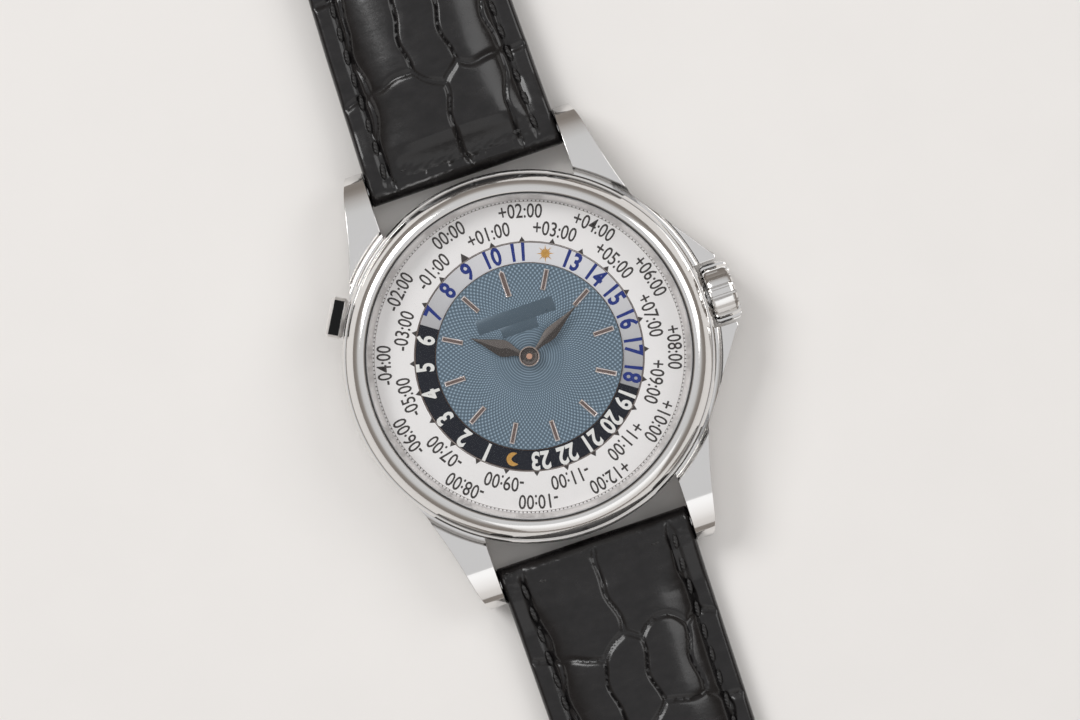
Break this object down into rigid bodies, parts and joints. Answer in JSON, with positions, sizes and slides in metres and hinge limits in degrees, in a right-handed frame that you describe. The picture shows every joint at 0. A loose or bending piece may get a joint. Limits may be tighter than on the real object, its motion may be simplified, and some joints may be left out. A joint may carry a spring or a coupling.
{
  "type": "world time wristwatch",
  "caption": "Round world time wristwatch with a turning city disc and day-night ring, leaf hands, winding crown, side pusher and a padded scaled leather strap with a pin buckle.",
  "frame": {"origin": "on the case axis, on the flat of the case back that the watch lies on", "axes": "+Y to 12 o'clock along the strap, +X to the crown at 3 o'clock, +Z out through the crystal"},
  "size_m": [0.04, 0.2378, 0.0091],
  "materials": {
    "case_steel": "mirror polished",
    "crystal_glass": "clear, polished",
    "gasket_black": "matte",
    "dial_blue": "engine-turned, lacquered",
    "city_silver": "satin silver, printed",
    "day_night": "printed, half silver and half night blue",
    "marker_steel": "polished facets",
    "hand_steel": "dark polish",
    "plate_steel": "striped and grained",
    "wheel_brass": "fine grained",
    "works_steel": "polished",
    "rotor_gold": "engraved, polished",
    "jewel_red": "polished ruby",
    "blued_steel": "blued",
    "strap_leather": "glossy scaled",
    "buckle_steel": "polished"
  },
  "bodies": {
    "case": {"case_middle": "case_steel", "bezel": "case_steel", "crystal": "crystal_glass", "crystal_gasket": "gasket_black", "dial_flange": "case_steel", "back_ring": "case_steel", "back_crystal": "crystal_glass", "mainplate": "plate_steel", "barrel_bridge": "plate_steel", "train_bridge": "plate_steel", "balance_cock": "plate_steel", "bearing_jewels": "jewel_red", "bridge_screws": "blued_steel", "ring_guide": "works_steel", "centre_dial": "dial_blue", "hour_markers": "marker_steel", "crown_tube": "works_steel", "corrector_spring": "works_steel", "city_jumper": "works_steel", "lug_spring_bars": "works_steel"},
    "minute_arbor": {"minute_hand": "hand_steel", "cannon_pinion": "works_steel"},
    "centre_arbor": {"centre_wheel": "wheel_brass"},
    "hour_arbor": {"hour_hand": "hand_steel", "hour_wheel": "wheel_brass"},
    "minute_wheel_arbor": {"minute_wheel": "wheel_brass"},
    "idler": {"ring_idler": "wheel_brass"},
    "day_night_ring": {"hour_24_ring": "day_night"},
    "mainspring_barrel": {"barrel": "wheel_brass"},
    "third_arbor": {"third_wheel": "wheel_brass"},
    "fourth_arbor": {"fourth_wheel": "wheel_brass"},
    "escape_arbor": {"escape_wheel": "works_steel"},
    "city_ring": {"city_disc": "city_silver"},
    "pallets": {"pallet_fork": "works_steel"},
    "balance": {"balance_wheel": "wheel_brass", "hairspring": "blued_steel"},
    "winding_arbor": {"winding_pinion": "works_steel"},
    "crown_and_stem": {"crown": "case_steel", "winding_stem": "works_steel", "sliding_pinion": "works_steel"},
    "crown_wheel_arbor": {"crown_wheel": "works_steel"},
    "ratchet_arbor": {"ratchet_wheel": "works_steel"},
    "rotor": {"winding_rotor": "rotor_gold"},
    "push_piece": {"pusher": "case_steel"},
    "lever": {"corrector_lever": "works_steel"},
    "strap_12": {"strap_buckle_half": "strap_leather", "fixed_keeper": "strap_leather"},
    "sliding_loop": {"free_keeper": "strap_leather"},
    "buckle": {"buckle_frame": "buckle_steel", "buckle_bar": "buckle_steel"},
    "tongue": {"buckle_tongue": "buckle_steel"},
    "strap_6": {"strap_hole_half": "strap_leather"}
  },
  "joints": [
    {"name": "minute_turn", "type": "hinge", "parent": "case", "child": "minute_arbor", "pos_m": [0, 0, 0.0045], "axis": [0, 0, 1], "continuous": true},
    {"name": "hour_turn", "type": "hinge", "parent": "case", "child": "hour_arbor", "pos_m": [0, 0, 0.0045], "axis": [0, 0, 1], "continuous": true},
    {"name": "minute_wheel_turn", "type": "hinge", "parent": "case", "child": "minute_wheel_arbor", "pos_m": [-0.00338, -0.00123, 0.0045], "axis": [0, 0, 1], "continuous": true},
    {"name": "idler_turn", "type": "hinge", "parent": "case", "child": "idler", "pos_m": [0.00634, 0.00231, 0.0045], "axis": [0, 0, 1], "continuous": true},
    {"name": "day_night_turn", "type": "hinge", "parent": "case", "child": "day_night_ring", "pos_m": [0, 0, 0.0045], "axis": [0, 0, 1], "continuous": true},
    {"name": "fourth_turn", "type": "hinge", "parent": "case", "child": "fourth_arbor", "pos_m": [-0.00495, -0.00513, 0.0045], "axis": [0, 0, 1], "continuous": true},
    {"name": "centre_turn", "type": "hinge", "parent": "case", "child": "centre_arbor", "pos_m": [0, 0, 0.0045], "axis": [0, 0, 1], "continuous": true},
    {"name": "barrel_turn", "type": "hinge", "parent": "case", "child": "mainspring_barrel", "pos_m": [0.00354, 0.00434, 0.0045], "axis": [0, 0, 1], "continuous": true},
    {"name": "third_turn", "type": "hinge", "parent": "case", "child": "third_arbor", "pos_m": [-0.0014, -0.00383, 0.0045], "axis": [0, 0, 1], "continuous": true},
    {"name": "escape_turn", "type": "hinge", "parent": "case", "child": "escape_arbor", "pos_m": [-0.0066, -0.00227, 0.0045], "axis": [0, 0, 1], "continuous": true},
    {"name": "city_turn", "type": "hinge", "parent": "case", "child": "city_ring", "pos_m": [0, 0, 0.0045], "axis": [0, 0, 1], "continuous": true},
    {"name": "pallet_rock", "type": "hinge", "parent": "case", "child": "pallets", "pos_m": [-0.00749, -0.0001, 0.0045], "axis": [0, 0, 1], "range_deg": [-5, 5]},
    {"name": "balance_swing", "type": "hinge", "parent": "case", "child": "balance", "pos_m": [-0.0086, 0.0026, 0.0045], "axis": [0, 0, 1], "range_deg": [-220, 220], "stiffness_Nm_per_rad": 0.00000018, "deforming": ["hairspring"]},
    {"name": "winding_turn", "type": "hinge", "parent": "case", "child": "winding_arbor", "pos_m": [0, 0, 0.00335], "axis": [1, 0, 0], "continuous": true},
    {"name": "crown_pull_out", "type": "slide", "parent": "winding_arbor", "child": "crown_and_stem", "axis": [1, 0, 0], "range_m": [0, 0.001]},
    {"name": "crown_wheel_turn", "type": "hinge", "parent": "case", "child": "crown_wheel_arbor", "pos_m": [0.00786, 0, 0.002], "axis": [0, 0, 1], "continuous": true},
    {"name": "ratchet_turn", "type": "hinge", "parent": "case", "child": "ratchet_arbor", "pos_m": [0.00354, 0.00434, 0.002], "axis": [0, 0, 1], "continuous": true},
    {"name": "rotor_turn", "type": "hinge", "parent": "case", "child": "rotor", "pos_m": [0.0046, -0.007, 0.0025], "axis": [0, 0, 1], "continuous": true},
    {"name": "pusher_press", "type": "slide", "parent": "case", "child": "push_piece", "axis": [0.866, -0.5, 0], "range_m": [0, 0.0008], "stiffness_N_per_m": 1500, "springref_m": -0.0004, "deforming": ["corrector_spring"]},
    {"name": "lever_rock", "type": "hinge", "parent": "case", "child": "lever", "pos_m": [-0.00962, 0.00851, 0.005], "axis": [0, 0, 1], "range_deg": [0, 16]},
    {"name": "strap_12_swing", "type": "hinge", "parent": "case", "child": "strap_12", "pos_m": [0, 0.0207, 0.00235], "axis": [1, 0, 0], "range_deg": [-75, 25]},
    {"name": "sliding_loop_slide", "type": "slide", "parent": "strap_12", "child": "sliding_loop", "axis": [0, 1, 0], "range_m": [-0.003, 0.01]},
    {"name": "buckle_swing", "type": "hinge", "parent": "strap_12", "child": "buckle", "pos_m": [0, 0.0927, 0.00235], "axis": [1, 0, 0], "range_deg": [-40, 40]},
    {"name": "tongue_swing", "type": "hinge", "parent": "buckle", "child": "tongue", "pos_m": [0, 0.0927, 0.00235], "axis": [1, 0, 0], "range_deg": [0, 75]},
    {"name": "strap_6_swing", "type": "hinge", "parent": "case", "child": "strap_6", "pos_m": [0, -0.0207, 0.00235], "axis": [-1, 0, 0], "range_deg": [-75, 25]}
  ],
  "couplings": [
    {"joint": "hour_turn", "follows": "minute_turn", "ratio": 0.083333},
    {"joint": "minute_wheel_turn", "follows": "minute_turn", "ratio": -0.33333},
    {"joint": "idler_turn", "follows": "minute_turn", "ratio": -0.16667},
    {"joint": "day_night_turn", "follows": "minute_turn", "ratio": -0.041667},
    {"joint": "centre_turn", "follows": "fourth_turn", "ratio": 0.016667},
    {"joint": "barrel_turn", "follows": "fourth_turn", "ratio": -0.002381},
    {"joint": "third_turn", "follows": "fourth_turn", "ratio": -0.125},
    {"joint": "escape_turn", "follows": "fourth_turn", "ratio": -10},
    {"joint": "crown_wheel_turn", "follows": "winding_turn", "ratio": 0.46154},
    {"joint": "ratchet_turn", "follows": "winding_turn", "ratio": -0.28571},
    {"joint": "lever_rock", "follows": "pusher_press", "rad_per_m": 343}
  ]
}
